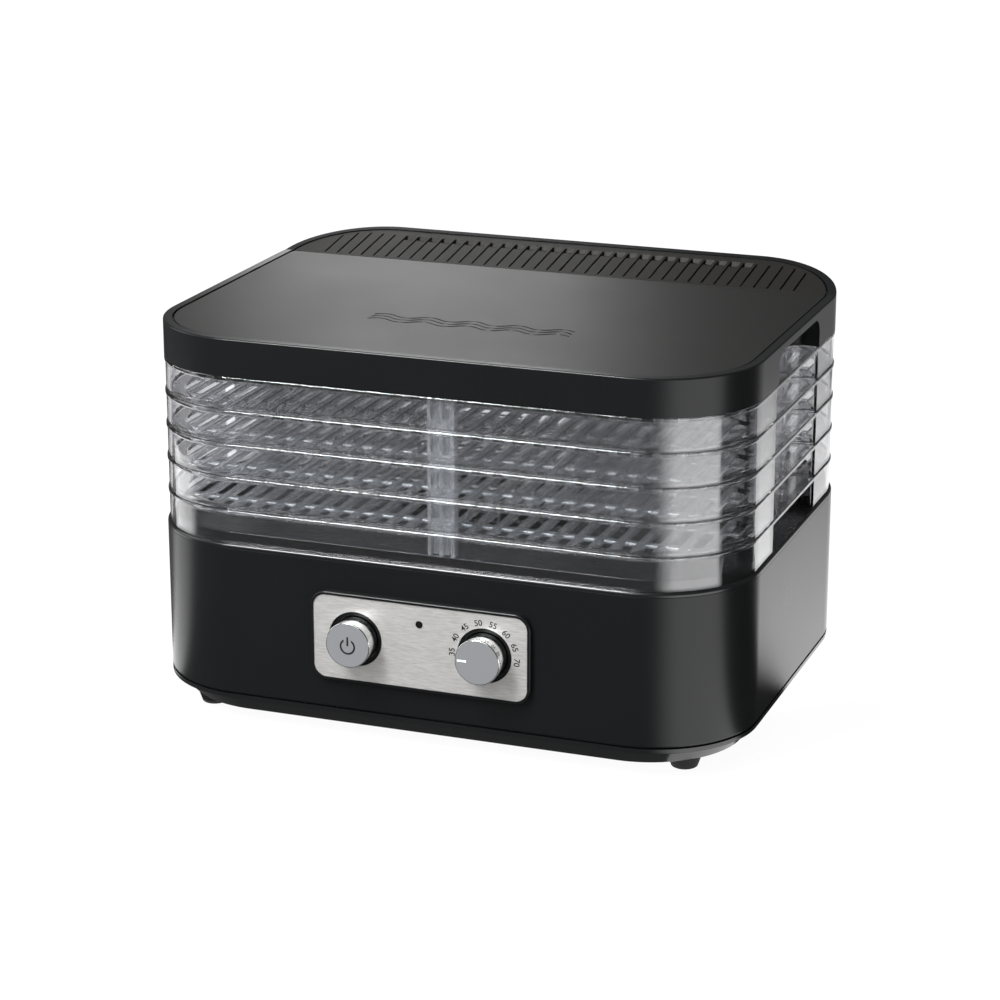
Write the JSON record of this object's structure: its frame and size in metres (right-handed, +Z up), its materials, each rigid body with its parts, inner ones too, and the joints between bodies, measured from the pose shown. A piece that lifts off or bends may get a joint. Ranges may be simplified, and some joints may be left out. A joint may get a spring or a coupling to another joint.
{
  "type": "food dehydrator",
  "caption": "Rounded box-shaped food dehydrator: black heated fan base with button and dial, stacked clear lift-off trays, side hand pockets and a vented lid.",
  "frame": {"origin": "middle of the footprint (knobs and inlet flange included), on the surface the feet stand on", "axes": "+X to the user's right, -Y the front with the controls, +Z up"},
  "size_m": [0.3366, 0.2716, 0.225],
  "materials": {
    "black_abs_gloss": "moulded black ABS, semi-gloss",
    "black_abs_satin": "moulded black ABS, satin",
    "lid_abs": "moulded black ABS, semi-gloss",
    "lid_satin": "fine satin black ABS",
    "lid_vent": "fine satin black ABS",
    "tray_clear": "clear moulded plastic",
    "brushed_plate": "brushed along its length",
    "knob_silver": "silver-coated plastic, bright side and satin face",
    "mark_white": "printed line",
    "smoked_lens": "smoked clear plastic",
    "lamp_amber": "coloured lamp body",
    "foot_rubber": "moulded rubber",
    "switch_nylon": "black nylon",
    "white_nylon": "natural nylon",
    "fan_nylon": "glass-filled nylon",
    "zinc_sheet": "zinc-plated sheet steel",
    "zinc_screw": "zinc-plated steel",
    "shaft_steel": "ground steel",
    "motor_steel": "drawn steel can",
    "brass_pin": "plated brass",
    "heater_wire": "resistance wire"
  },
  "bodies": {
    "base": {"base_housing": "black_abs_gloss", "base_deck": "black_abs_satin", "tray_collar": "black_abs_satin", "deck_posts": "black_abs_satin", "outlet_grille": "black_abs_satin", "bottom_plate": "black_abs_satin", "base_screws": "zinc_screw", "foot_front_left": "foot_rubber", "foot_front_right": "foot_rubber", "foot_rear_left": "foot_rubber", "foot_rear_right": "foot_rubber", "control_bezel": "black_abs_gloss", "control_plate": "brushed_plate", "control_bracket": "zinc_sheet", "bracket_screws": "zinc_screw", "indicator_lens": "smoked_lens", "indicator_lamp": "lamp_amber", "power_switch": "switch_nylon", "thermostat": "switch_nylon", "mains_inlet": "switch_nylon", "inlet_pins": "brass_pin", "terminal_block": "white_nylon", "motor_bracket": "zinc_sheet", "motor_screws": "zinc_screw", "fan_motor": "motor_steel", "heater_frame": "zinc_sheet", "heater_coil": "heater_wire", "thermal_fuse": "zinc_screw"},
    "fan": {"fan_rotor": "fan_nylon", "fan_shaft": "shaft_steel"},
    "button": {"power_button": "knob_silver"},
    "dial": {"temperature_dial": "knob_silver", "dial_mark": "mark_white", "dial_shaft": "shaft_steel"},
    "tray_1": {"tray_1_skirt": "tray_clear", "tray_1_rim": "tray_clear", "tray_1_floor": "tray_clear"},
    "tray_2": {"tray_2_skirt": "tray_clear", "tray_2_rim": "tray_clear", "tray_2_floor": "tray_clear"},
    "tray_3": {"tray_3_skirt": "tray_clear", "tray_3_rim": "tray_clear", "tray_3_floor": "tray_clear"},
    "tray_4": {"tray_4_skirt": "tray_clear", "tray_4_rim": "tray_clear", "tray_4_floor": "tray_clear"},
    "tray_5": {"tray_5_skirt": "tray_clear", "tray_5_rim": "tray_clear", "tray_5_floor": "tray_clear"},
    "lid": {"lid_shell": "lid_abs", "lid_liners": "lid_abs", "lid_deck": "lid_abs", "lid_panel": "lid_satin", "vent_grille": "lid_vent"}
  },
  "joints": [
    {"name": "power_button_press", "type": "slide", "parent": "base", "child": "button", "axis": [0, 1, 0], "range_m": [0, 0.003], "stiffness_N_per_m": 400, "springref_m": -0.001},
    {"name": "temperature_dial_turn", "type": "hinge", "parent": "base", "child": "dial", "pos_m": [0.0366, -0.1221, 0.0605], "axis": [0, 1, 0], "range_deg": [0, 180]},
    {"name": "fan_spin", "type": "hinge", "parent": "base", "child": "fan", "pos_m": [0, 0.0063, 0.062], "axis": [0, 0, 1], "continuous": true},
    {"name": "tray_1_lift", "type": "slide", "parent": "base", "child": "tray_1", "axis": [0, 0, 1], "range_m": [0, 0.05]},
    {"name": "tray_2_lift", "type": "slide", "parent": "tray_1", "child": "tray_2", "axis": [0, 0, 1], "range_m": [0, 0.05]},
    {"name": "tray_3_lift", "type": "slide", "parent": "tray_2", "child": "tray_3", "axis": [0, 0, 1], "range_m": [0, 0.05]},
    {"name": "tray_4_lift", "type": "slide", "parent": "tray_3", "child": "tray_4", "axis": [0, 0, 1], "range_m": [0, 0.05]},
    {"name": "tray_5_lift", "type": "slide", "parent": "tray_4", "child": "tray_5", "axis": [0, 0, 1], "range_m": [0, 0.05]},
    {"name": "lid_lift", "type": "slide", "parent": "tray_5", "child": "lid", "axis": [0, 0, 1], "range_m": [0, 0.06]}
  ]
}
